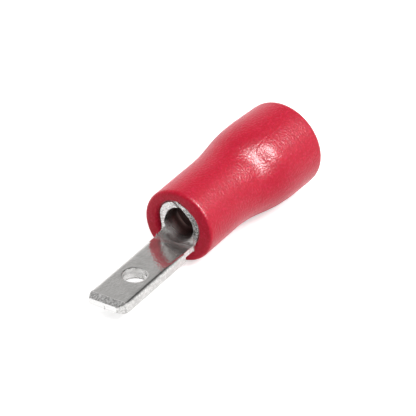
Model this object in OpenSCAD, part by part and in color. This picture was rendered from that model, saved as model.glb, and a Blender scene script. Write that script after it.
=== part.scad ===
// Insulated male spade terminal for a thin wire: a tab of folded sheet with a crimp barrel behind it,
// and a soft sleeve pushed over the barrel.
// Millimetres. +X runs from the wire end to the tip of the tab, +Z is up, and the origin is on the
// barrel's axis, half way along the barrel, where it is crimped.

/* [Sheet] */
// Thickness of the sheet that the terminal is stamped and folded from
sheet_t = 0.4; // [0.3:0.02:0.5]

/* [Tab] */
// Width of the tab over its two folded edges
tab_w = 2.8; // [2.4:0.1:3.2]
// Reach of the tab from the front of the barrel to its tip
tab_reach = 8.22; // [7.2:0.02:9.5]
// Drop of the tab's top face below the barrel's axis
tab_drop = 0.8; // [0.7:0.05:0.95]
// Rounding of the tab's folded edges
fold_r = 0.26; // [0.1:0.02:0.36]
// Length of the bevel ground on the top and bottom of the tip
bevel_l = 0.48; // [0.32:0.04:0.8]
// Height of that bevel at the tip
bevel_h = 0.18; // [0.05:0.01:0.24]
// Width of each cut corner of the tip
corner_w = 0.45; // [0.3:0.03:0.75]
// Length of each cut corner of the tip
corner_l = 0.6; // [0.4:0.04:1]
// Diameter of the detent hole
hole_d = 1.6; // [1:0.05:1.8]
// Distance of the detent hole's centre from the tip
hole_back = 3.25; // [2.8:0.05:3.8]
// Width of the butt seam where the two folded wings meet under the tab
wing_gap = 0.06; // [0.03:0.01:0.12]

/* [Neck] */
// Length of the neck, in which the flat sheet curls up into the barrel
neck_l = 1.45; // [1.3:0.05:1.8]
// Width of the flat sheet in the neck, between its two cut edges
neck_w = 2.6; // [2.2:0.05:2.7]
// Width of that sheet, measured round its curl, where it joins the barrel
ear_w = 3.1; // [2.8:0.05:3.4]
// Length of the steep end of the curl, next to the barrel
curl_l = 0.5; // [0.4:0.05:0.9]
// Share of the curl that is spread over the whole neck as a shallow trough
trough = 0.34; // [0.2:0.02:0.5]

/* [Barrel] */
// Inner diameter of the crimp barrel, for wire of 0.5 to 1.5 square millimetres
barrel_bore_d = 2.2; // [2:0.05:2.6]
// Length of the crimp barrel
barrel_l = 5; // [4:0.2:6]
// Gap of the butt seam along the top of the barrel
barrel_gap = 0.12; // [0.04:0.02:0.2]
// Number of grip grooves rolled inside the barrel
groove_n = 3; // [1:1:4]
// Distance between grip grooves
groove_pitch = 0.9; // [0.6:0.05:0.95]
// Width of a grip groove at the bore
groove_w = 0.26; // [0.1:0.02:0.4]
// Depth of a grip groove
groove_h = 0.08; // [0.04:0.01:0.12]

/* [Sleeve] */
// Outer diameter of the sleeve's narrow end, over the barrel
sleeve_od = 4.9; // [4.5:0.1:5.4]
// Distance that the sleeve's front rim stands past the barrel
sleeve_lead = 0.15; // [0:0.05:0.4]
// Length of the sleeve along its axis
sleeve_l = 11.9; // [11.4:0.1:13]
// Length of the narrow end, from the front rim to the start of the shoulder
narrow_l = 3.72; // [3.4:0.02:4.2]
// Length of the shoulder, in which the sleeve widens
shoulder_l = 5.82; // [5:0.02:6.2]
// Outer diameter at the back of the shoulder
mouth_od = 6.04; // [5.7:0.06:6.6]
// Amount by which the mouth narrows again towards its back rim, on the diameter
mouth_draft = 0.08; // [0:0.02:0.2]
// Inner diameter of the wire entry
entry_bore_d = 4.8; // [4.2:0.1:5]
// Depth of the wire entry's straight bore
mouth_depth = 3; // [2:0.1:3.4]
// Rounding of the front rim
front_r = 0.26; // [0.1:0.02:0.4]
// Rounding of the back rim, outside
back_r = 0.42; // [0.2:0.02:0.48]
// Widening of the sleeve's bore at the front rim, on the diameter
flare_d = 0.3; // [0.1:0.02:0.5]
// Depth of that widening
flare_l = 0.6; // [0.3:0.1:1]
// Clearance between the barrel and the sleeve, on the radius
sleeve_fit = 0.02; // [0.01:0.01:0.05]
// Angle by which the soft wire end leans to the side
lean_deg = 4.5; // [0:0.1:6]
// Angle by which the soft wire end lifts
lift_deg = 1.4; // [0:0.1:3]
// Depth of the small flat spots on which the soft sleeve lies
rest_flat = 0.04; // [0.02:0.01:0.08]

/* [Hidden] */
$fn = 96;
eps = 0.01;

tab_t = 2 * sheet_t;
tab_top = -tab_drop;
barrel_front = barrel_l / 2;
barrel_back = -barrel_l / 2;
barrel_r = barrel_bore_d / 2;
barrel_out_r = barrel_r + sheet_t;
tip_x = barrel_front + tab_reach;
neck_front = barrel_front + neck_l;
hole_x = tip_x - hole_back;
sleeve_front = barrel_front + sleeve_lead;
sleeve_r = sleeve_od / 2;
mouth_r = mouth_od / 2;
rim_r = mouth_r - mouth_draft / 2;
entry_r = entry_bore_d / 2;
bore_r = barrel_out_r + sleeve_fit;
// The neck runs this far into the barrel's wall, and this much inside both of its skins
neck_bite = 0.15;
neck_relief = 0.03;
// The sleeve bends at the start of its shoulder
bend_x = sleeve_front - narrow_l;
behind_bend = sleeve_l - narrow_l;
// The entry cone starts a little behind the barrel
barrel_play = 0.1;
cone_front = barrel_back - barrel_play;
// The straight bore laps the leaning entry cone, so that no web is left between them
bore_end = cone_front - 1.2 * bore_r * tan(lean_deg + lift_deg);
cone_l = behind_bend - mouth_depth - (bend_x - cone_front);
// Lowest places of the front rim and of the mouth, which the sleeve lies on
front_low = [sleeve_front - front_r, -sleeve_r];
mouth_low = [bend_x - shoulder_l * cos(lift_deg), shoulder_l * sin(lift_deg) - mouth_r * cos(lift_deg)];
rest_deg = atan2(front_low[1] - mouth_low[1], front_low[0] - mouth_low[0]);

// Slow start and slow end between 0 and 1
function ease(u) = u * u * (3 - 2 * u);
// The same with a longer, softer start and end
function ease_more(u) = u * u * u * (u * (6 * u - 15) + 10);

// Turns a shape drawn along +Z so that it runs along +X
module along_x() {
    rotate([0, 90, 0]) children();
}

// The section of the neck at one place: a strip of sheet as an arc whose bow is 0 at the tab and 1 at
// the barrel. It bends as sheet metal does, with little change of its length between the cut edges.
function neck_section(x, bow) =
    let (
        steps = 16,
        bend_r = (barrel_r + sheet_t / 2) / max(bow, 0.001),
        strip_w = neck_w + (ear_w - neck_w) * bow * bow,
        mid_z = (tab_top - sheet_t / 2) * (1 - bow) - (barrel_r + sheet_t / 2) * bow,
        skin = sheet_t / 2 - neck_relief * bow,
        point = function (i, side)
            let (a = strip_w * (i / steps - 0.5) / bend_r * 180 / PI, r = bend_r - side * skin)
            [x, r * sin(a), mid_z + bend_r - r * cos(a)]
    )
    concat([for (i = [0:steps]) point(i, 1)], [for (i = [steps:-1:0]) point(i, -1)]);

// Closed skin through a row of sections that have the same number of points
module loft(sections) {
    count = len(sections[0]);
    last = len(sections) - 1;
    sides = [
        for (s = [0:last - 1]) for (k = [0:count - 1])
            let (a = s * count + k, b = s * count + (k + 1) % count)
            each [[a, b, b + count], [a, b + count, a + count]]
    ];
    ends = [
        for (k = [0:count / 2 - 2])
            let (m = count - 1 - k, e = last * count)
            each [[k, m - 1, k + 1], [k, m, m - 1], [e + k, e + k + 1, e + m - 1], [e + k, e + m - 1, e + m]]
    ];
    polyhedron(points = [for (s = sections) each s], faces = concat(sides, ends));
}

// Bow of the neck at a distance from the barrel: a shallow trough that fades out towards the tab, and
// a steep curl at the barrel
function neck_bow(away) =
    trough * (1 - ease(min(1, max(0, away / neck_l)))) + (1 - trough) * (1 - ease(min(1, max(0, away / curl_l))));

module neck() {
    steps = 20;
    run = neck_l + neck_bite + eps;
    loft([
        for (i = [0:steps])
            let (x = barrel_front - neck_bite + run * pow(i / steps, 1.5))
            neck_section(x, neck_bow(x - barrel_front))
    ]);
}

// Section of the tab across its width: the sheet folded double, with rounded edges
module tab_section() {
    translate([-tab_w / 2, fold_r - tab_t]) square([tab_w, tab_t - 2 * fold_r]);
    translate([fold_r - tab_w / 2, -tab_t]) square([tab_w - 2 * fold_r, tab_t]);
    for (y = [-1, 1], z = [fold_r - tab_t, -fold_r])
        translate([y * (tab_w / 2 - fold_r), z]) circle(r = fold_r, $fn = 48);
}

// Plan of the tab with the corners of its tip cut
module tab_plan() {
    polygon([
        [neck_front, -tab_w], [tip_x - corner_l, -tab_w], [tip_x - corner_l, -tab_w / 2],
        [tip_x, corner_w - tab_w / 2], [tip_x, tab_w / 2 - corner_w],
        [tip_x - corner_l, tab_w / 2], [tip_x - corner_l, tab_w], [neck_front, tab_w]
    ]);
}

// Side view of the tab with its tip bevelled above and below
module tab_side() {
    polygon([
        [neck_front, tab_top], [tip_x - bevel_l, tab_top], [tip_x, tab_top - bevel_h],
        [tip_x, tab_top - tab_t + bevel_h], [tip_x - bevel_l, tab_top - tab_t], [neck_front, tab_top - tab_t]
    ]);
}

module tab() {
    difference() {
        intersection() {
            translate([neck_front, 0, tab_top])
                rotate([90, 0, 90]) linear_extrude(tip_x - neck_front) tab_section();
            translate([0, 0, tab_top - tab_t]) linear_extrude(tab_t) tab_plan();
            rotate([90, 0, 0]) linear_extrude(2 * tab_w, center = true) tab_side();
        }
        // Butt seam of the two wings, which are folded under the tab
        translate([neck_front - eps, -wing_gap / 2, tab_top - tab_t - eps])
            cube([tab_reach, wing_gap, sheet_t + eps]);
        translate([hole_x, 0, tab_top - tab_t - eps]) cylinder(d = hole_d, h = tab_t + 2 * eps);
    }
}

module grip_groove() {
    rotate_extrude()
        polygon([
            [barrel_r - eps, -groove_w / 2], [barrel_r, -groove_w / 2],
            [barrel_r + groove_h, 0], [barrel_r, groove_w / 2], [barrel_r - eps, groove_w / 2]
        ]);
}

module barrel() {
    difference() {
        translate([barrel_back, 0, 0]) along_x() cylinder(r = barrel_out_r, h = barrel_l);
        translate([barrel_back - eps, 0, 0]) along_x() cylinder(r = barrel_r, h = barrel_l + 2 * eps);
        for (i = [0:groove_n - 1])
            translate([(i - (groove_n - 1) / 2) * groove_pitch, 0, 0]) along_x() grip_groove();
        translate([barrel_back - eps, -barrel_gap / 2, 0])
            cube([barrel_l + 2 * eps, barrel_gap, barrel_out_r + eps]);
    }
}

module terminal() {
    color([0.72, 0.71, 0.7]) {
        barrel();
        neck();
        tab();
    }
}

// Places what is drawn along +Z so that it runs backwards from the bend, along the leaning wire end
module along_wire_end() {
    translate([bend_x, 0, 0]) rotate([0, -90 + lift_deg, -lean_deg]) children();
}

// Outline of the sleeve behind the bend: radius against distance, a soft shoulder and then the mouth
module mouth_outline() {
    steps = 20;
    arc = 8;
    polygon(concat(
        [[0, 0]],
        [for (i = [0:steps]) let (u = i / steps) [sleeve_r + (mouth_r - sleeve_r) * ease_more(u), shoulder_l * u]],
        [for (i = [0:arc]) let (a = 90 * i / arc)
            [rim_r - back_r * (1 - cos(a)), behind_bend - back_r * (1 - sin(a))]],
        [[0, behind_bend]]
    ));
}

// Outline of the sleeve's narrow end, with its rounded front rim
module narrow_outline() {
    arc = 8;
    polygon(concat(
        [[0, 0], [sleeve_r, 0]],
        [for (i = [0:arc]) let (a = 90 * i / arc)
            [sleeve_r - front_r * (1 - cos(a)), narrow_l - front_r * (1 - sin(a))]],
        [[0, narrow_l]]
    ));
}

// Everything under the plane that the sleeve lies on, which presses its rims a little flat
module under_rest() {
    translate([mouth_low[0], 0, mouth_low[1] + rest_flat]) rotate([0, -rest_deg, 0])
        translate([-sleeve_l, -mouth_od, -mouth_od]) cube([3 * sleeve_l, 2 * mouth_od, mouth_od]);
}

module sleeve() {
    color([0.82, 0.1, 0.24])
        difference() {
            union() {
                translate([bend_x, 0, 0]) along_x() rotate_extrude() narrow_outline();
                translate([bend_x, 0, 0]) sphere(r = sleeve_r);
                along_wire_end() rotate_extrude() mouth_outline();
            }
            translate([bore_end, 0, 0]) along_x() cylinder(r = bore_r, h = sleeve_front - bore_end + eps);
            translate([sleeve_front - flare_l, 0, 0])
                along_x() cylinder(r1 = bore_r, r2 = bore_r + flare_d / 2 + eps, h = flare_l + eps);
            // Entry cone, which leads the wire into the barrel
            along_wire_end() translate([0, 0, bend_x - cone_front])
                cylinder(r1 = bore_r, r2 = entry_r, h = cone_l + eps);
            along_wire_end() translate([0, 0, behind_bend - mouth_depth])
                cylinder(r = entry_r, h = mouth_depth + eps);
            under_rest();
        }
}

terminal();
sleeve();
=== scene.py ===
import math
import bmesh
import bpy
import numpy as np
from mathutils import Matrix, Vector


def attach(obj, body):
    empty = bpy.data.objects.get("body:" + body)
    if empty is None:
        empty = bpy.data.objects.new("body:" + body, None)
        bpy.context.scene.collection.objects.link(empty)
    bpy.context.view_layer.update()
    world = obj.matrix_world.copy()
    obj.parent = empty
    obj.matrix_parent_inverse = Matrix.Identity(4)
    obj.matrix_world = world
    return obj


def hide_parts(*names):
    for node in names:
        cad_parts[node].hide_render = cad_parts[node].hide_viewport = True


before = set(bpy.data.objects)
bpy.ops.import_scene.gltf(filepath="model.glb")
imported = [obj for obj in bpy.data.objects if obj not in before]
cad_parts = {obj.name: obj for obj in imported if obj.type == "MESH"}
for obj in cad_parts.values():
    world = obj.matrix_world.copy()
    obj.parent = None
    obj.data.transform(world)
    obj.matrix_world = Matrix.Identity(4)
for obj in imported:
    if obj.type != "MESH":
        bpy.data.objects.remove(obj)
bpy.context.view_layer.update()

# Barrel and neck of the terminal.
# One strip of tinned brass sheet, 0.4 mm thick. Behind the tab it curls up within half a millimetre
# and is rolled into the wire barrel, whose two edges meet in a butt seam on top.
MM = 0.001
SHEET = 0.4
BARREL_FRONT, BARREL_BACK = 2.5, -2.5
WING_END = 3.95
TAB_TOP = -0.8
SEAM = math.radians(-173)
SEAM_HALF = math.radians(2.9)
EAR = math.radians(71)
CURL = 0.5


def smooth(u):
    """Goes from 0 to 1 with a slow start and a slow end: 3 u squared less 2 u cubed, u kept in 0 to 1."""
    u = np.clip(u, 0.0, 1.0)
    return u * u * (3 - 2 * u)


def sheet_metal_piece(name, grids, weld=2e-7):
    """Makes one closed mesh of several grids. A grid is (points, marks): points has rows, columns and
    xyz in millimetres, and each mark is one number or one for each face. Every square of four
    neighbouring points is a face, and points that coincide are welded."""
    points, faces, marks, start = [], [], {}, 0
    for pts, flags in grids:
        rows, cols = pts.shape[:2]
        index = start + np.arange(rows * cols).reshape(rows, cols)
        quads = np.stack([index[:-1, :-1], index[1:, :-1], index[1:, 1:], index[:-1, 1:]], -1)
        points.append(pts.reshape(-1, 3))
        faces.append(quads.reshape(-1, 4))
        for key in ("cut", "burr_and_shade", "inner"):
            value = np.broadcast_to(np.asarray(flags.get(key, 0.0), float), (rows - 1, cols - 1))
            marks.setdefault(key, []).append(value.reshape(-1))
        start += rows * cols
    mesh = bpy.data.meshes.new(name)
    mesh.from_pydata((np.concatenate(points) * MM).tolist(), [], np.concatenate(faces).tolist())
    for key, values in marks.items():
        mesh.attributes.new(key, "FLOAT", "FACE").data.foreach_set("value", np.concatenate(values))
    work = bmesh.new()
    work.from_mesh(mesh)
    bmesh.ops.remove_doubles(work, verts=work.verts, dist=weld)
    bmesh.ops.dissolve_degenerate(work, edges=work.edges, dist=weld)
    bmesh.ops.recalc_face_normals(work, faces=work.faces)
    work.to_mesh(mesh)
    work.free()
    mesh.shade_smooth()
    mesh.set_sharp_from_angle(angle=math.radians(38))
    piece = bpy.data.objects.new(name, mesh)
    bpy.context.scene.collection.objects.link(piece)
    return piece


def wall_middle(angle):
    """Radius of the middle of the rolled wall against the angle from the bottom, in millimetres: a
    circle that draws out to a soft point at the seam, more slowly on the left, where it bulges a
    little, and whose right lip rides up a little."""
    past = np.mod(angle - SEAM, 2 * np.pi)
    left = smooth(1 - past / math.radians(80))
    right = smooth(1 - (2 * np.pi - past) / math.radians(45))
    bulge = np.exp(-((angle + math.radians(130)) / math.radians(30)) ** 2)
    lip = smooth((angle - math.radians(172)) / math.radians(8))
    return 1.225 + 0.22 * np.maximum(left, right) + 0.05 * bulge + 0.07 * lip


def wall_half(angle):
    """Half of the wall's thickness: half the sheet, a little more at the bulge on the left, and less
    below it, where the sheet was drawn out."""
    bulge = np.exp(-((angle + math.radians(132)) / math.radians(26)) ** 2)
    drawn = np.exp(-((angle + math.radians(84)) / math.radians(20)) ** 2)
    return SHEET / 2 + 0.055 * bulge - 0.075 * drawn


def seam_shear(angle):
    """Turn of the outer skin near the seam, whose two faces stand slanted: 6 degrees, fading out over 60."""
    away = np.abs(np.mod(angle - SEAM + np.pi, 2 * np.pi) - np.pi)
    return math.radians(6) * smooth(1 - away / math.radians(60))


def ring_points(x, angle, radius):
    """Points at x, at a radius and at an angle from the bottom, positive towards +Y."""
    return np.stack(np.broadcast_arrays(x, radius * np.sin(angle), -radius * np.cos(angle)), -1)


def grip_groove(x):
    """Depth of the three V-shaped grooves rolled inside the barrel: 0.08 mm less the distance from the
    nearest groove's middle, over its half width."""
    near = np.min(np.abs(x[:, None] - np.array([-0.9, 0.0, 0.9])), axis=1)
    return 0.08 * np.clip(1 - near / 0.13, 0, 1)


angles = np.concatenate([
    np.linspace(SEAM + SEAM_HALF, -EAR, 37)[:-1],
    np.linspace(-EAR, EAR, 49),
    np.linspace(EAR, SEAM + 2 * np.pi - SEAM_HALF, 45)[1:],
])
ear_l, ear_r = 36, 36 + 48
along = np.unique(np.concatenate([
    np.linspace(BARREL_BACK, BARREL_FRONT, 21),
    *[np.array([-0.13, -0.07, 0.0, 0.07, 0.13]) + middle for middle in (-0.9, 0.0, 0.9)],
]).round(4))
middle, half = wall_middle(angles), wall_half(angles)
shear = seam_shear(angles)
inner = ring_points(along[:, None], (angles - shear)[None],
                    middle[None] - half[None] + grip_groove(along)[:, None])
outer = ring_points(along[:, None], (angles + shear)[None], middle[None] + half[None])

# The neck's sections blend from the barrel's arc, over a steep curl, to a strip with a shallow trough
# that fades out towards the tab. The stamping tool has pressed a low crease across its two sides
run_x = np.concatenate([np.linspace(BARREL_FRONT, BARREL_FRONT + CURL, 31),
                        np.linspace(BARREL_FRONT + CURL, WING_END, 41)[1:]])
bow = (np.clip(1 - (run_x - BARREL_FRONT) / CURL, 0, 1) ** 1.35)[:, None, None]
across = np.linspace(-1, 1, ear_r - ear_l + 1)
half_width = 1.30 + 0.08 * np.exp(-((run_x - 2.92) / 0.2) ** 2)
pressed = 0.15 + 0.85 * np.abs(across) ** 2.5
ridge = (0.075 * np.exp(-((run_x - 3.05) / 0.055) ** 2)
         - 0.045 * np.exp(-((run_x - 2.93) / 0.06) ** 2))[:, None] * pressed[None]
trough = 0.20 * smooth((WING_END - run_x) / 1.7)[:, None] * np.cos(np.pi / 2 * across)[None] ** 2
strip = slice(ear_l, ear_r + 1)


def neck_skin(side):
    """One skin of the neck: bow times the arc plus one less bow times the flat strip, at half the
    sheet's thickness above or below its middle."""
    arc = ring_points(run_x[:, None], angles[None, strip], (middle[strip] - side * half[strip])[None])
    height = TAB_TOP - SHEET / 2 + side * SHEET / 2 - trough + ridge
    flat = np.stack(np.broadcast_arrays(run_x[:, None], across[None] * half_width[:, None], height), -1)
    return bow * arc + (1 - bow) * flat


neck_top, neck_under = neck_skin(1), neck_skin(-1)


def between(a, b, steps=3):
    """Grid from one row of points to another, with straight lines between."""
    t = np.linspace(0, 1, steps)[:, None, None]
    return a[None] * (1 - t) + b[None] * t


barrel = sheet_metal_piece("barrel_and_neck", [
    (inner, {"inner": 1.0}),
    (outer, {}),
    (between(inner[-1, :ear_l + 1], outer[-1, :ear_l + 1]), {"cut": 1.0, "burr_and_shade": 0.12}),
    (between(inner[-1, ear_r:], outer[-1, ear_r:]), {"cut": 1.0, "burr_and_shade": np.linspace(1.0, 0.15, 44)[None]}),
    (between(inner[0], outer[0]), {"cut": 1.0}),
    (between(inner[:, 0], outer[:, 0]), {"cut": 1.0}),
    (between(inner[:, -1], outer[:, -1]), {"cut": 1.0}),
    (neck_top, {}),
    (neck_under, {}),
    (between(neck_top[:, 0], neck_under[:, 0]), {"cut": 1.0, "burr_and_shade": 0.2}),
    (between(neck_top[:, -1], neck_under[:, -1]), {"cut": 1.0, "burr_and_shade": 0.2}),
    (between(neck_top[-1], neck_under[-1]), {}),
])


def soften_edges(piece, width, keep_from=1e9):
    """Rounds every edge sharper than 40 degrees by width millimetres, except where x is past keep_from."""
    work = bmesh.new()
    work.from_mesh(piece.data)
    weight = work.edges.layers.float.new("bevel_weight_edge")
    for edge in work.edges:
        sharp = edge.is_manifold and edge.calc_face_angle(0.0) > math.radians(40)
        kept = min(v.co.x for v in edge.verts) > keep_from * MM
        edge[weight] = 1.0 if sharp and not kept else 0.0
    work.to_mesh(piece.data)
    work.free()
    bevel = piece.modifiers.new("Softened edges", "BEVEL")
    bevel.limit_method = "WEIGHT"
    bevel.width = width * MM
    bevel.segments = 2
    bevel.harden_normals = False


soften_edges(barrel, 0.025, keep_from=WING_END - 0.01)


def fine_mottle_group():
    """Node group: two noises of different grain on Object coordinates, one for colour and one for
    height, as a surface has that was rolled, plated or moulded."""
    group = bpy.data.node_groups.new("fine_mottle", "ShaderNodeTree")
    for label, low, default in (("Grain", "NodeSocketFloat", 4000.0), ("Patch", "NodeSocketFloat", 600.0)):
        group.interface.new_socket(label, in_out="INPUT", socket_type=low).default_value = default
    for label in ("Patches", "Height"):
        group.interface.new_socket(label, in_out="OUTPUT", socket_type="NodeSocketFloat")
    nodes, links = group.nodes, group.links
    source, result = nodes.new("NodeGroupInput"), nodes.new("NodeGroupOutput")
    place = nodes.new("ShaderNodeTexCoord")
    patch, grain = nodes.new("ShaderNodeTexNoise"), nodes.new("ShaderNodeTexNoise")
    patch.inputs["Detail"].default_value = 4.0
    grain.inputs["Detail"].default_value = 2.0
    for noise, label in ((patch, "Patch"), (grain, "Grain")):
        links.new(place.outputs["Object"], noise.inputs["Vector"])
        links.new(source.outputs[label], noise.inputs["Scale"])
    links.new(patch.outputs["Fac"], result.inputs["Patches"])
    links.new(grain.outputs["Fac"], result.inputs["Height"])
    return group


mottle = fine_mottle_group()


def new_material(name):
    """A new material with its node tree and its shader."""
    material = bpy.data.materials.new(name)
    material.use_nodes = True
    tree = material.node_tree
    return material, tree, tree.nodes["Principled BSDF"]


def add_node(tree, kind, values=(), **settings):
    """Adds a node, sets what is given by name on it, and puts values or links into its inputs."""
    made = tree.nodes.new(kind)
    for key, value in settings.items():
        setattr(made, key, value)
    for key, value in dict(values).items():
        if isinstance(value, bpy.types.NodeSocket):
            tree.links.new(value, made.inputs[key])
        else:
            made.inputs[key].default_value = value
    return made


def math_node(tree, operation, a, b=0.0):
    """One step of arithmetic on values that change over the surface."""
    made = add_node(tree, "ShaderNodeMath", {0: a, 1: b}, operation=operation)
    return made.outputs[0]


def blend_colour(tree, factor, a, b):
    """Goes from colour a to colour b with the factor."""
    made = add_node(tree, "ShaderNodeMix", {0: factor}, data_type="RGBA")
    for key, value in ((6, a), (7, b)):
        if isinstance(value, bpy.types.NodeSocket):
            tree.links.new(value, made.inputs[key])
        else:
            made.inputs[key].default_value = (*value, 1.0)
    return made.outputs[2]


def blend_value(tree, factor, a, b):
    """Goes from value a to value b with the factor."""
    made = add_node(tree, "ShaderNodeMix", {0: factor, 2: a, 3: b}, data_type="FLOAT")
    return made.outputs[0]


TIP = 10.72
BEVEL_L = 0.47


def tinned_metal():
    """Rolled tin plate, nearly a mirror with a fine speckle, on the faces; a rougher tin on cut edges, with
    dark burrs and a painted shadow on the hole's rim; a rougher inner skin in the barrel, with painted shade;
    and a coarse, scraped bevel at the tip."""
    material, tree, shader = new_material("tinned_metal")
    grain = add_node(tree, "ShaderNodeGroup", {}, node_tree=mottle)
    grain.inputs["Grain"].default_value = 6500.0
    grain.inputs["Patch"].default_value = 1300.0
    mark = {key: add_node(tree, "ShaderNodeAttribute", attribute_name=key).outputs["Fac"]
            for key in ("cut", "burr_and_shade", "inner")}
    place = add_node(tree, "ShaderNodeTexCoord")
    x = add_node(tree, "ShaderNodeSeparateXYZ", {0: place.outputs["Object"]}).outputs[0]
    coarse = add_node(tree, "ShaderNodeTexNoise", {"Vector": place.outputs["Object"], "Scale": 7500.0,
                                                   "Detail": 3.0, "Roughness": 0.7}).outputs["Fac"]
    past_bevel = add_node(tree, "ShaderNodeMapRange", {
        0: x, 1: (TIP - BEVEL_L - 0.03) * MM, 2: (TIP - BEVEL_L + 0.03) * MM}).outputs[0]
    tip = math_node(tree, "MULTIPLY", past_bevel, math_node(tree, "SUBTRACT", 1.0, mark["cut"]))
    scraped = add_node(tree, "ShaderNodeMapRange", {0: coarse, 1: 0.42, 2: 0.60}).outputs[0]
    patches = grain.outputs["Patches"]
    rolled = blend_colour(tree, patches, (0.66, 0.645, 0.625), (1.0, 0.985, 0.965))
    torn = add_node(tree, "ShaderNodeMapRange", {0: coarse, 1: 0.57, 2: 0.45}).outputs[0]
    # Dark spots on marked faces: real burrs on the cut edges, and a painted shadow on the hole's rollover
    burr_and_shade_spots = math_node(tree, "MULTIPLY", mark["burr_and_shade"], torn)
    edged = blend_colour(tree, mark["cut"], rolled, (0.96, 0.955, 0.945))
    with_burr_and_shade = blend_colour(tree, burr_and_shade_spots, edged, (0.16, 0.15, 0.14))
    # Painted shade inside the barrel: the inner skin is painted a dark brown-red that deepens from the front
    # rim over a millimetre into the bore
    depth = add_node(tree, "ShaderNodeMapRange", {0: x, 1: 2.5 * MM, 2: 1.5 * MM}).outputs[0]
    deep = math_node(tree, "MULTIPLY", mark["inner"], depth)
    inside_shaded = blend_colour(tree, deep, with_burr_and_shade, (0.30, 0.20, 0.19))
    bevel = blend_colour(tree, scraped, (0.44, 0.43, 0.42), (1.0, 0.99, 0.98))
    tipped = blend_colour(tree, tip, inside_shaded, bevel)
    tree.links.new(tipped, shader.inputs["Base Color"])
    shader.inputs["Metallic"].default_value = 0.92
    rough = blend_value(tree, mark["cut"], blend_value(tree, patches, 0.07, 0.15), 0.24)
    dim = blend_value(tree, deep, rough, 0.45)
    tree.links.new(blend_value(tree, tip, dim, 0.30), shader.inputs["Roughness"])
    across_neck = add_node(tree, "ShaderNodeMapping", {"Vector": place.outputs["Object"],
                                                       "Scale": (1.0, 0.14, 0.5)}).outputs[0]
    creases = add_node(tree, "ShaderNodeTexNoise", {"Vector": across_neck, "Scale": 9000.0, "Detail": 3.0,
                                                    "Roughness": 0.65}).outputs["Fac"]
    curled = math_node(tree, "MULTIPLY",
                       add_node(tree, "ShaderNodeMapRange", {0: x, 1: 3.6 * MM, 2: 3.0 * MM}).outputs[0],
                       add_node(tree, "ShaderNodeMapRange", {0: x, 1: 1.5 * MM, 2: 2.4 * MM}).outputs[0])
    height = math_node(tree, "MULTIPLY", grain.outputs["Height"], 0.6)
    for amount, weight, pattern in ((tip, 5.0, coarse), (mark["cut"], 1.3, coarse),
                                    (curled, 12.0, creases)):
        height = math_node(tree, "ADD", height,
                           math_node(tree, "MULTIPLY", pattern, math_node(tree, "MULTIPLY", amount, weight)))
    bump = add_node(tree, "ShaderNodeBump", {"Strength": 0.6, "Distance": 0.00002, "Height": height})
    tree.links.new(bump.outputs[0], shader.inputs["Normal"])
    return material


tin = tinned_metal()
barrel.data.materials.append(tin)
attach(barrel, "root")
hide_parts("terminal")

# Tab of the terminal.
# The same sheet, folded double: two wings are folded under and meet in a butt seam, and the folds are
# its rounded long edges. The tip is cut at its corners and bevelled above and below, with one hole.
TAB_HALF, FOLD, TAB_T = 1.4, 0.26, 0.8
HOLE_X, HOLE_R = 7.47, 0.775
CORNER_L, BEVEL_H = 0.95, 0.18
CORNER_CUT = {"left": 0.24, "right": 0.57}
SEAM_Y, SEAM_DEEP = 0.03, 0.35
flat_half = TAB_HALF - FOLD
seam_side = np.concatenate([[SEAM_Y], np.linspace(0.15, flat_half, 8)])
face_y = np.concatenate([-seam_side[::-1], [0.0], seam_side])
turn = np.radians(np.array([0, 10, 22, 34, 46, 58, 70, 80, 90]))


def tab_measures(x, side):
    """Half width, edge rounding, top and bottom of the tab at each x: full and even up to the cut
    corners, which start in a soft bend and run straight to the tip, where the bevels are straight."""
    corner = np.clip((x - (TIP - CORNER_L)) / CORNER_L, 0, 1)
    bevel = np.clip((x - (TIP - BEVEL_L)) / BEVEL_L, 0, 1)
    half_w = TAB_HALF - CORNER_CUT[side] * corner ** 2.2
    fold = FOLD - 0.17 * smooth(corner * 1.3)
    return half_w, fold, TAB_TOP - BEVEL_H * bevel, TAB_TOP - TAB_T + BEVEL_H * bevel


def tab_rows(x, part):
    """Part of the tab's skin at each x: the top or underside, whose points keep their share of the
    width, or one side from the top, round the fold and down to the underside."""
    sides = ("left", "right") if part in ("top", "under") else (part, part)
    (low_w, low_fold, top, under), (high_w, high_fold, _, _) = (
        [v[:, None] for v in tab_measures(x, side)] for side in sides)
    half_w, fold = high_w, high_fold
    share = face_y[None] / flat_half * np.where(face_y[None] < 0, low_w - low_fold, high_w - high_fold)
    if part == "top":
        y, z = share, top + 0 * share
    elif part == "under":
        y, z = share, under + np.where(face_y[None] == 0, SEAM_DEEP, 0.0) + 0 * share
    else:
        sign = 1.0 if part == "right" else -1.0
        down = turn[None]
        y_up, z_up = half_w - fold + fold * np.sin(down), top - fold + fold * np.cos(down)
        y_low, z_low = y_up[:, ::-1], under + fold - fold * np.cos(down[:, ::-1])
        y, z = sign * np.concatenate([y_up, y_low], 1), np.concatenate([z_up, z_low], 1)
    return np.stack(np.broadcast_arrays(x[:, None], y, z), -1)


def hole_patch(z, seam):
    """Square of the tab round the hole: lines from points on the square's edge, which are those of the
    neighbouring strips, straight in to the circle."""
    side = face_y
    edge = np.concatenate([
        np.stack([side, side * 0 - flat_half], 1), np.stack([side * 0 + flat_half, side], 1)[1:],
        np.stack([side[::-1], side * 0 + flat_half], 1)[1:],
        np.stack([side * 0 - flat_half, side[::-1]], 1)[1:],
    ])
    bearing = np.arctan2(edge[:, 1], edge[:, 0])
    circle = (HOLE_R + 0.03) * np.stack([np.cos(bearing), np.sin(bearing)], 1)
    t = (np.linspace(0, 1, 6) ** 0.8)[:, None, None]
    flat = edge[None] * (1 - t) + circle[None] * t
    lifted = seam * SEAM_DEEP * (np.abs(edge[:, 1]) < 1e-6)
    return np.dstack([flat + [HOLE_X, 0], np.broadcast_to(z + lifted, flat.shape[:2])]), bearing, lifted


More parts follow.
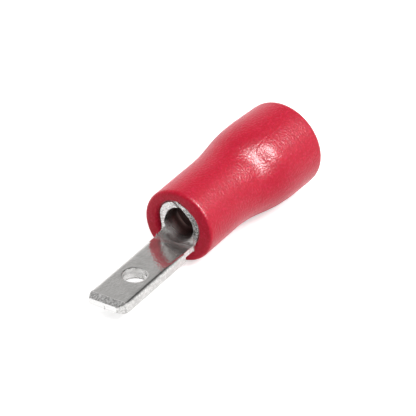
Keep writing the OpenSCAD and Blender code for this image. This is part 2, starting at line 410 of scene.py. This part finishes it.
rear = np.linspace(WING_END, HOLE_X - flat_half, 7)
mid = HOLE_X + face_y
front = np.concatenate([np.linspace(HOLE_X + flat_half, TIP - CORNER_L, 6)[:-1],
                        np.linspace(TIP - CORNER_L, TIP - BEVEL_L, 8)[:-1], np.linspace(TIP - BEVEL_L, TIP, 9)])
marks_side = np.ones(2 * len(turn) - 1)
marks_side[:2] = marks_side[-2:] = 0.0
tab_grids = []
for x in (rear, mid, front):
    for part in ("left", "right"):
        marks = {"cut": 0.4 * marks_side[None], "burr_and_shade": 0.26 * marks_side[None]}
        tab_grids.append((tab_rows(x, part), marks))
for x in (rear, front):
    for part in ("top", "under"):
        tab_grids.append((tab_rows(x, part), {}))
top_patch, bearing, _ = hole_patch(TAB_TOP, 0.0)
under_patch, _, lifted = hole_patch(TAB_TOP - TAB_T, 1.0)
# Down the wall of the hole: radius past HOLE_R and height under the top
wall = np.array([[0.03, 0.0], [0.013, -0.006], [0.004, -0.02], [0.0, -0.045], [0.0, -0.36], [0.02, -0.39],
                 [0.06, -0.40], [0.10, -0.40], [0.10, -0.76], [0.09, -0.785], [0.03, -0.80]])
wall_r = (HOLE_R + wall[:, 0])[:, None]
wall_z = np.maximum(TAB_TOP + wall[:, 1][:, None], TAB_TOP - TAB_T + lifted[None])
# Burr on the wall of the hole, and a painted shadow: the rollover at its top is painted dark on the left
burr_and_rim_shadow = np.full((len(wall) - 1, len(bearing) - 1), 0.12)
burr_and_rim_shadow[:3] += 3.0 * np.exp(-((bearing[:-1] + math.radians(108)) / math.radians(38)) ** 2)
tab_grids += [
    (top_patch, {}), (under_patch, {}),
    (np.dstack(np.broadcast_arrays(HOLE_X + wall_r * np.cos(bearing), wall_r * np.sin(bearing), wall_z)),
     {"cut": 1.0, "burr_and_shade": burr_and_rim_shadow}),
]


def end_face(x):
    """Face across the tab at x: its upper outline joined straight down to its lower one."""
    one = np.array([x])
    n = len(turn)
    right, left = tab_rows(one, "right")[0], tab_rows(one, "left")[0]
    upper = np.concatenate([left[:n][::-1], tab_rows(one, "top")[0], right[:n]])
    lower = np.concatenate([left[n:], tab_rows(one, "under")[0], right[n:][::-1]])
    return np.stack([upper, lower])


tab_grids += [(end_face(WING_END), {"cut": 1.0}), (end_face(TIP), {"cut": 1.0})]
tab = sheet_metal_piece("tab", tab_grids)
tab.data.materials.append(tin)
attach(tab, "root")
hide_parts("terminal")

# Sleeve.
# One moulding of soft red vinyl, pushed over the barrel. It is narrow over the barrel, swells in a soft
# shoulder to the wire entry, and has taken a slight lean to the side there.
RIM_X, SLEEVE_L = 2.65, 11.9
NARROW_R, MOUTH_R, BACK_R = 2.456, 3.02, 2.977
SHOULDER_AT, SHOULDER_L = 3.72, 5.82
LEAN = np.array([0.083, 0.026])
FRONT_ROUND, BACK_ROUND = 0.25, 0.41
ENTRY_R, ENTRY_L = 2.4, 3.0


def sleeve_axis(back, bend, lean):
    """Middle of the sleeve at a distance behind its front rim: straight, then leaning, with a soft bend
    1.6 mm long between. Gives the place and the direction."""
    soft = 0.8
    past = np.clip(back - (bend - soft), 0, 2 * soft)
    shift = past ** 2 / (4 * soft) + np.clip(back - (bend + soft), 0, None)
    slope = past / (2 * soft)
    centre = np.stack([RIM_X - back, lean[0] * shift, lean[1] * shift], -1)
    along = np.stack([-np.ones_like(back), lean[0] * slope, lean[1] * slope], -1)
    return centre, along / np.linalg.norm(along, axis=-1, keepdims=True)


def rings_round(back, radius, bend, lean, around):
    """Rings round the axis, square to it: centre plus radius times the turned side and up directions."""
    centre, along = sleeve_axis(back, bend, lean)
    side = np.cross(np.array([0.0, 0.0, 1.0]), along)
    side /= -np.linalg.norm(side, axis=-1, keepdims=True)
    up = np.cross(along, side)
    up *= np.sign(up[:, 2:3])
    return (centre[:, None] + radius[..., None] * (np.sin(around)[None, :, None] * side[:, None]
            - np.cos(around)[None, :, None] * up[:, None]))


around = np.linspace(-np.pi, np.pi, 193)[:-1]
quarter = np.radians(np.linspace(0, 90, 9))
# Outside: front rim's rounding, straight part and shoulder, then the back rim's rounding
wall_back = np.concatenate([np.linspace(FRONT_ROUND, SHOULDER_AT - 0.3, 14),
                            np.linspace(SHOULDER_AT, 9.9, 46),
                            np.linspace(10.1, SLEEVE_L - BACK_ROUND, 8)])
# The shoulder is steeper on its upper right side
away = np.mod(around - np.radians(138) + np.pi, 2 * np.pi) - np.pi
steep = np.exp(-(away / np.radians(38)) ** 2)
start = SHOULDER_AT - 0.25 * np.sin(away) + 2.25 * steep
share = np.clip((wall_back[:, None] - start[None]) / (SHOULDER_L - 3.6 * steep)[None], 0, 1)
swell = share ** 2 / (share ** 2 + (1 - share) ** 2)
tail = np.clip((wall_back - 9.54) / (SLEEVE_L - 9.54), 0, 1)[:, None]
out_r = NARROW_R + (MOUTH_R - NARROW_R) * swell - (MOUTH_R - BACK_R) * tail
row = np.ones((1, len(around)))
front_back = FRONT_ROUND * (1 - np.sin(quarter))
crisp = 0.13 * np.exp(-((around - math.radians(95)) / math.radians(50)) ** 2)
front_r = NARROW_R - (1 - np.cos(quarter))[:, None] * (FRONT_ROUND - crisp)[None]
rear_back = SLEEVE_L - BACK_ROUND * (1 - np.sin(quarter))
rear_r = (BACK_R - BACK_ROUND * (1 - np.cos(quarter)))[:, None] * row
outside = rings_round(
    np.concatenate([front_back[::-1], wall_back[1:-1], rear_back]),
    np.concatenate([front_r[::-1], out_r[1:-1], rear_r]), SHOULDER_AT + 0.4, LEAN, around)
# Inside: the entry's lip, its straight bore, the cone that leads the wire in, and the bore round the
# barrel, which follows the barrel's outline and opens a little at the front rim
CONE_END = RIM_X - BARREL_BACK + 0.1
lip = 0.12
grip_r = wall_middle(around) + wall_half(around) + 0.02 + 0.12 * np.exp(-((around + 1.45) / 0.5) ** 2)
lip_back = SLEEVE_L - lip * (1 - np.sin(quarter[::2]))
lip_r = (ENTRY_R + lip * (1 - np.cos(quarter[::2])))[:, None] * row
cone = np.linspace(0, 1, 14)[1:]
cone_back = SLEEVE_L - ENTRY_L + (CONE_END - SLEEVE_L + ENTRY_L) * cone
cone_r = ENTRY_R + (grip_r[None] - ENTRY_R) * cone[:, None]
flare = np.array([[0.6, 0.0], [0.4, 0.02], [0.25, 0.04], [0.14, 0.065], [0.06, 0.10], [0.015, 0.15],
                  [0.0, 0.20]])
inner_lean = LEAN * (SLEEVE_L - SHOULDER_AT - 0.4) / (SLEEVE_L - CONE_END)
inside = rings_round(
    np.concatenate([lip_back[::-1], cone_back, [2.6, 1.2], flare[:, 0]]),
    np.concatenate([lip_r[::-1], cone_r, grip_r[None], grip_r[None], grip_r[None] + flare[:, 1][:, None]]),
    CONE_END + 0.8, inner_lean, around)
rows = np.concatenate([outside, inside, outside[:1]])
rows = np.concatenate([rows, rows[:, :1]], 1)
sleeve = sheet_metal_piece("sleeve_shell", [(rows, {})])
sleeve.data.set_sharp_from_angle(angle=math.radians(60))


def red_vinyl():
    """Soft red vinyl: deep colour with slight cloudiness, a fine orange-peel skin whose peaks are painted a
    lighter red as glints, a low gloss and a faint pink sheen."""
    material, tree, shader = new_material("red_vinyl")
    grain = add_node(tree, "ShaderNodeGroup", {}, node_tree=mottle)
    grain.inputs["Grain"].default_value = 7000.0
    grain.inputs["Patch"].default_value = 2600.0
    cloudy = blend_colour(tree, grain.outputs["Patches"], (0.48, 0.0002, 0.019), (0.55, 0.0004, 0.026))
    # Painted glints: the peaks of the orange peel are painted a lighter red
    peel_glint = add_node(tree, "ShaderNodeMapRange", {0: grain.outputs["Height"], 1: 0.48, 2: 0.72}).outputs[0]
    colour = blend_colour(tree, peel_glint, cloudy, (0.62, 0.010, 0.048))
    tree.links.new(colour, shader.inputs["Base Color"])
    rough = blend_value(tree, grain.outputs["Patches"], 0.35, 0.41)
    tree.links.new(rough, shader.inputs["Roughness"])
    shader.inputs["Specular IOR Level"].default_value = 0.22
    shader.inputs["Sheen Weight"].default_value = 0.42
    shader.inputs["Sheen Roughness"].default_value = 0.40
    shader.inputs["Sheen Tint"].default_value = (1.0, 0.64, 0.68, 1.0)
    shader.inputs["Subsurface Weight"].default_value = 0.12
    shader.inputs["Subsurface Radius"].default_value = (1.0, 0.15, 0.12)
    shader.inputs["Subsurface Scale"].default_value = 0.0006
    bump = add_node(tree, "ShaderNodeBump", {"Strength": 1.0, "Distance": 0.000034,
                                             "Height": grain.outputs["Height"]})
    tree.links.new(bump.outputs[0], shader.inputs["Normal"])
    return material


sleeve.data.materials.append(red_vinyl())
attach(sleeve, "root")
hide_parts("sleeve")

# Floor.
# A plain white sweep that the part lies on: the sleeve's two rims touch it. It is white to the camera
# and in reflections, and keeps the part's shadow.
front_low = np.array([RIM_X - FRONT_ROUND, 0.0, -NARROW_R])
back_low = rows.reshape(-1, 3)[np.argmin(rows.reshape(-1, 3)[:, 2])]
slope = (back_low[2] - front_low[2]) / (back_low[0] - front_low[0])
reach = 400.0
edge = np.array([[-reach, -reach], [reach, -reach], [reach, reach], [-reach, reach]])
floor_z = front_low[2] + slope * (edge[:, 0] - front_low[0]) - 0.01
floor_mesh = bpy.data.meshes.new("floor")
floor_mesh.from_pydata((np.column_stack([edge, floor_z]) * MM).tolist(), [], [(0, 1, 2, 3)])
floor = bpy.data.objects.new("floor", floor_mesh)
bpy.context.scene.collection.objects.link(floor)
white, tree, shader = new_material("white_sweep")
shader.inputs["Base Color"].default_value = (0.8, 0.8, 0.8, 1.0)
shader.inputs["Roughness"].default_value = 0.9
shader.inputs["Specular IOR Level"].default_value = 0.0
ray = add_node(tree, "ShaderNodeLightPath")
to_lens = math_node(tree, "MAXIMUM", ray.outputs["Is Camera Ray"], ray.outputs["Is Transmission Ray"])
shader.inputs["Emission Color"].default_value = (1.0, 1.0, 1.0, 1.0)
tree.links.new(math_node(tree, "MAXIMUM", math_node(tree, "MULTIPLY", to_lens, 0.6),
                         math_node(tree, "MULTIPLY", ray.outputs["Is Glossy Ray"], 0.15)),
               shader.inputs["Emission Strength"])
floor_mesh.materials.append(white)

# Light.
# A white room with a dimmer ceiling and two dark patches, one high behind the part and one round the
# camera, as a studio has, with a soft box on each side and one from above, at a plain level. A card
# high on the right shows in the vinyl's gloss alone.
world = bpy.data.worlds.new("room")
bpy.context.scene.world = world
world.use_nodes = True
tree = world.node_tree
tree.nodes.clear()
way = add_node(tree, "ShaderNodeTexCoord").outputs["Generated"]
up_way = add_node(tree, "ShaderNodeSeparateXYZ", {0: way}).outputs[2]
shown = add_node(tree, "ShaderNodeMapRange", {0: up_way, 1: 0.30, 2: 0.72, 3: 1.0, 4: 0.55}).outputs[0]
for azimuth, elevation, dark_to, light_from, level in ((183, 45, 10, 41, 0.03), (-5, 33, 32, 58, 0.10)):
    az, el = math.radians(azimuth), math.radians(elevation)
    middle_way = (math.cos(el) * math.cos(az), math.cos(el) * math.sin(az), math.sin(el))
    near = add_node(tree, "ShaderNodeVectorMath", {0: way, 1: middle_way}, operation="DOT_PRODUCT")
    apart = math_node(tree, "ARCCOSINE", near.outputs["Value"])
    shade = add_node(tree, "ShaderNodeMapRange", {
        0: apart, 1: math.radians(dark_to), 2: math.radians(light_from), 3: level, 4: 1.0}).outputs[0]
    shown = math_node(tree, "MULTIPLY", shown, shade)
ray = add_node(tree, "ShaderNodeLightPath")
to_lens = math_node(tree, "MAXIMUM", ray.outputs["Is Camera Ray"], ray.outputs["Is Transmission Ray"])
ambient = add_node(tree, "ShaderNodeBackground", {"Color": (1.0, 1.0, 1.0, 1.0), "Strength": 0.40})
mirrored = add_node(tree, "ShaderNodeBackground", {"Color": (1.0, 1.0, 1.0, 1.0), "Strength": shown})
plain = add_node(tree, "ShaderNodeBackground", {"Color": (1.0, 1.0, 1.0, 1.0), "Strength": 1.0})
in_metal = add_node(tree, "ShaderNodeMixShader", {
    0: ray.outputs["Is Glossy Ray"], 1: ambient.outputs[0], 2: mirrored.outputs[0]})
mixed = add_node(tree, "ShaderNodeMixShader", {0: to_lens, 1: in_metal.outputs[0], 2: plain.outputs[0]})
add_node(tree, "ShaderNodeOutputWorld", {0: mixed.outputs[0]})


def soft_box(name, azimuth, elevation, distance, size, level, mirrored):
    """A square area lamp that faces the part from an azimuth and an elevation in degrees, at a distance
    and of a size in millimetres. It either lights the part or only shows in its gloss."""
    lamp = bpy.data.lights.new(name, "AREA")
    lamp.shape, lamp.size, lamp.energy = "SQUARE", size * MM, level
    holder = bpy.data.objects.new(name, lamp)
    az, el = math.radians(azimuth), math.radians(elevation)
    way = Vector((math.cos(el) * math.cos(az), math.cos(el) * math.sin(az), math.sin(el)))
    holder.location = way * distance * MM
    holder.rotation_euler = way.to_track_quat("Z", "Y").to_euler()
    holder.visible_glossy, holder.visible_diffuse = mirrored, not mirrored
    bpy.context.scene.collection.objects.link(holder)
    return holder


soft_box("box_left", -100, 25, 220, 160, 0.20, False)
soft_box("box_right", 108, 47, 220, 60, 0.30, False)
soft_box("box_top", 30, 75, 240, 140, 0.11, False)
card = soft_box("card_right", 101, 49, 220, 60, 2.6, True)
vinyl_only = bpy.data.collections.new("vinyl_only")
vinyl_only.objects.link(sleeve)
card.light_linking.receiver_collection = vinyl_only

# Camera.
# A long lens that looks down on the part from in front and to one side, as in the photograph.
right = Vector((-0.536435, 0.843801, -0.015382))
down = Vector((0.461112, 0.277783, -0.842741))
forward = Vector((-0.706833, -0.459169, -0.538100))
camera = bpy.data.objects.new("camera", bpy.data.cameras.new("camera"))
camera.data.sensor_width = 36.0
camera.data.lens = 36.0 * 2500.0 / 416.0
camera.data.clip_start, camera.data.clip_end = 0.005, 5.0
place = Matrix((right, -down, -forward)).transposed().to_4x4()
place.translation = Vector((110.30871, 72.18760, 84.06815)) * MM
camera.matrix_world = place
bpy.context.scene.collection.objects.link(camera)
bpy.context.scene.camera = camera
bpy.context.scene.view_settings.view_transform = "Standard"
